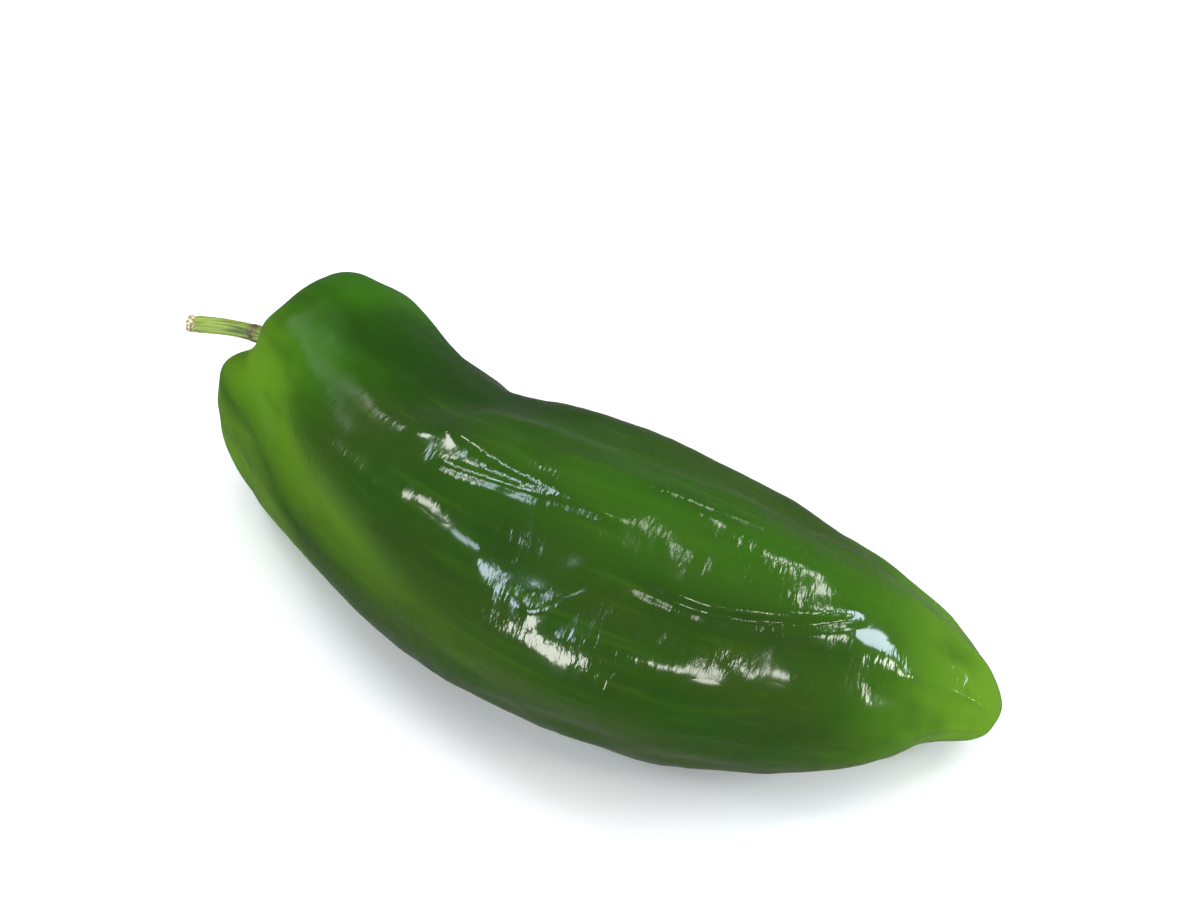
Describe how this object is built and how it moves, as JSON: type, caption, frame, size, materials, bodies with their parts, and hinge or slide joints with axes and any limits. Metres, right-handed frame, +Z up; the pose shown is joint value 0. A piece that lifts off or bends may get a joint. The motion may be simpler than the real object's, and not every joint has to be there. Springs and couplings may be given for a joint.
{
  "type": "horn pepper",
  "caption": "Long, slightly bent green sweet pepper lying on its side, with a sunken shoulder, soft lengthwise lobes, a pointed tip and a thin curved stem.",
  "frame": {"origin": "on the surface that the pepper lies on, under the middle of its bounding box", "axes": "+X along the pepper towards its tip, +Z up away from the surface it lies on"},
  "size_m": [0.191, 0.0744, 0.0603],
  "materials": {
    "pod_skin": "waxy gloss, deep green with lighter lime furrows",
    "calyx_leaf": "dull yellow-green",
    "stem_bark": "dull olive green with fine ribs"
  },
  "bodies": {
    "root": {"pod": "pod_skin", "calyx": "calyx_leaf", "stem": "stem_bark"}
  },
  "joints": []
}
